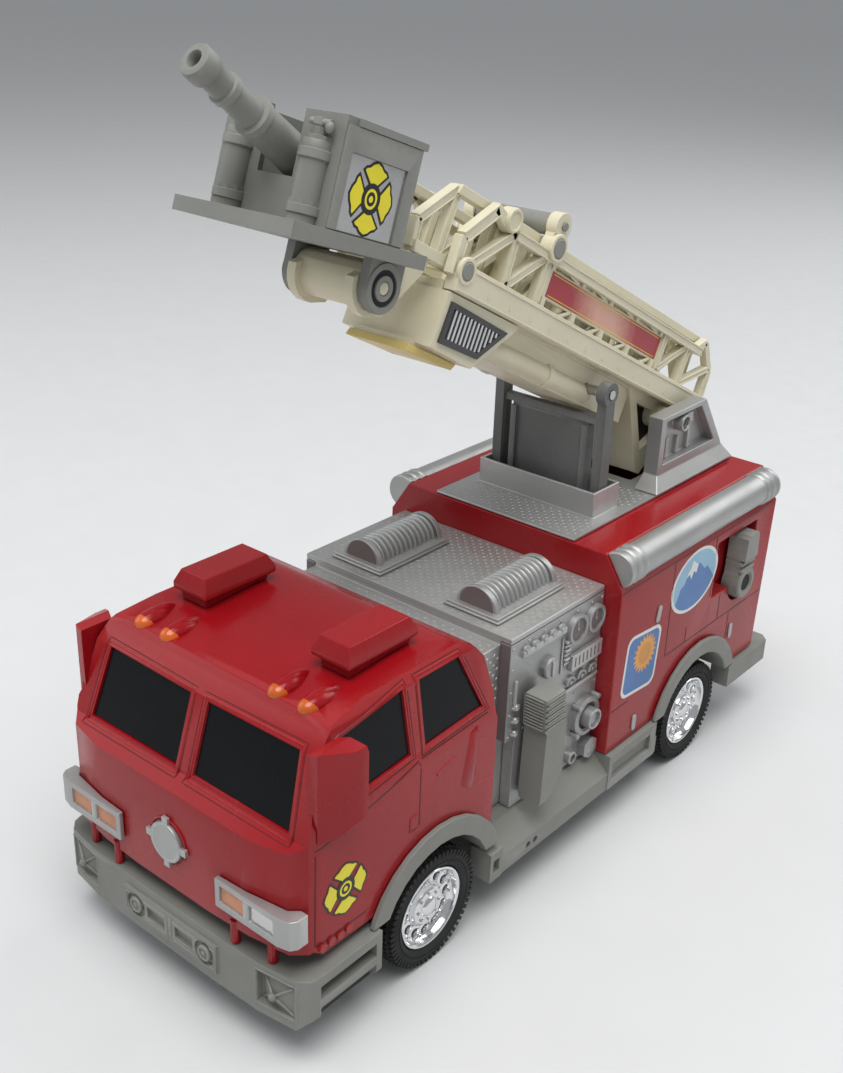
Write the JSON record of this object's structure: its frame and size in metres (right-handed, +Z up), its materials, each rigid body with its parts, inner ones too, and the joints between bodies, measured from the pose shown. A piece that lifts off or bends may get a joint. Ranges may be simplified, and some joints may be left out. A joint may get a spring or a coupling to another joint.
{
  "type": "toy fire engine",
  "caption": "Cab-over toy fire engine with rolling wheels, a raised ladder boom that slides out, a tilting bucket with a water cannon, and side levers.",
  "frame": {"origin": "on the ground, below the middle of the truck", "axes": "+Z up, -Y towards the front bumper, +X to the truck's left side"},
  "size_m": [0.1404, 0.35, 0.3397],
  "materials": {
    "red_plastic": "glossy",
    "gray_plastic": "satin",
    "dark_gray_plastic": "satin",
    "silver_paint": "metallic paint",
    "cream_plastic": "satin, slightly yellowed",
    "black_glazing": "glossy",
    "chrome": "mirror",
    "tyre": "matt",
    "steel": "satin"
  },
  "bodies": {
    "truck": {"cab_shell": "red_plastic", "roof_beacon_left": "red_plastic", "roof_beacon_right": "red_plastic", "mirror_left": "red_plastic", "mirror_right": "red_plastic", "rear_body": "red_plastic", "chassis": "gray_plastic", "front_bumper": "gray_plastic", "fender_front_left": "gray_plastic", "fender_front_right": "gray_plastic", "fender_rear_left": "gray_plastic", "fender_rear_right": "gray_plastic", "headlight_bezel_left": "silver_paint", "headlight_bezel_right": "silver_paint", "front_badge": "silver_paint", "pump_module": "silver_paint", "pump_panel_left": "silver_paint", "pump_panel_right": "silver_paint", "hose_reel_left": "silver_paint", "hose_reel_right": "silver_paint", "deck_plate": "silver_paint", "turret_cheek_left": "silver_paint", "turret_cheek_right": "silver_paint", "hose_tube_left": "silver_paint", "hose_tube_right": "silver_paint", "cab_glazing": "black_glazing", "chassis_screw_front": "steel", "chassis_screw_middle": "steel", "chassis_screw_rear": "steel", "pump_lever_pin": "steel", "side_lever_pin": "steel", "boom_pivot_pin": "steel"},
    "front_wheels": {"front_axle": "steel", "tyre_front_left": "tyre", "tyre_front_right": "tyre", "hub_front_left": "chrome", "hub_front_right": "chrome"},
    "rear_wheels": {"rear_axle": "steel", "tyre_rear_left": "tyre", "tyre_rear_right": "tyre", "hub_rear_left": "chrome", "hub_rear_right": "chrome"},
    "boom": {"boom_housing": "cream_plastic", "outer_rail_left": "cream_plastic", "outer_rail_right": "cream_plastic", "keeper_bar": "gray_plastic", "strut_pin": "steel", "head_grille_left": "silver_paint", "head_grille_right": "silver_paint"},
    "strut": {"lift_strut": "dark_gray_plastic"},
    "ladder": {"inner_rail_left": "cream_plastic", "inner_rail_right": "cream_plastic", "ladder_floor": "cream_plastic", "bucket_pin": "steel"},
    "bucket": {"bucket": "gray_plastic", "cannon_pin": "steel"},
    "cannon": {"water_cannon": "gray_plastic"},
    "pump_lever": {"pump_lever": "gray_plastic"},
    "side_lever": {"side_lever": "gray_plastic"}
  },
  "joints": [
    {"name": "front_axle_spin", "type": "hinge", "parent": "truck", "child": "front_wheels", "pos_m": [0, -0.097, 0.0256], "axis": [1, 0, 0], "continuous": true},
    {"name": "rear_axle_spin", "type": "hinge", "parent": "truck", "child": "rear_wheels", "pos_m": [0, 0.098, 0.0256], "axis": [1, 0, 0], "continuous": true},
    {"name": "boom_lift", "type": "hinge", "parent": "truck", "child": "boom", "pos_m": [0, 0.117, 0.1635], "axis": [1, 0, 0], "range_deg": [0, 24]},
    {"name": "strut_swing", "type": "hinge", "parent": "boom", "child": "strut", "pos_m": [0, 0.0553, 0.19104], "axis": [1, 0, 0], "range_deg": [-18, 0]},
    {"name": "ladder_extend", "type": "slide", "parent": "boom", "child": "ladder", "axis": [0, -0.8942, 0.4478], "range_m": [0, 0.085]},
    {"name": "bucket_tilt", "type": "hinge", "parent": "ladder", "child": "bucket", "pos_m": [0, -0.0837, 0.26009], "axis": [1, 0, 0], "range_deg": [-8, 20]},
    {"name": "cannon_tilt", "type": "hinge", "parent": "bucket", "child": "cannon", "pos_m": [0, -0.09301, 0.29371], "axis": [1, 0, 0], "range_deg": [-40, 5]},
    {"name": "pump_lever_pull", "type": "hinge", "parent": "truck", "child": "pump_lever", "pos_m": [0.0642, -0.031, 0.0465], "axis": [0, 1, 0], "range_deg": [0, 60]},
    {"name": "side_lever_turn", "type": "hinge", "parent": "truck", "child": "side_lever", "pos_m": [0.064, 0.133, 0.0855], "axis": [1, 0, 0], "range_deg": [0, 40]}
  ],
  "couplings": [
    {"joint": "strut_swing", "follows": "boom_lift", "ratio": -0.75}
  ]
}
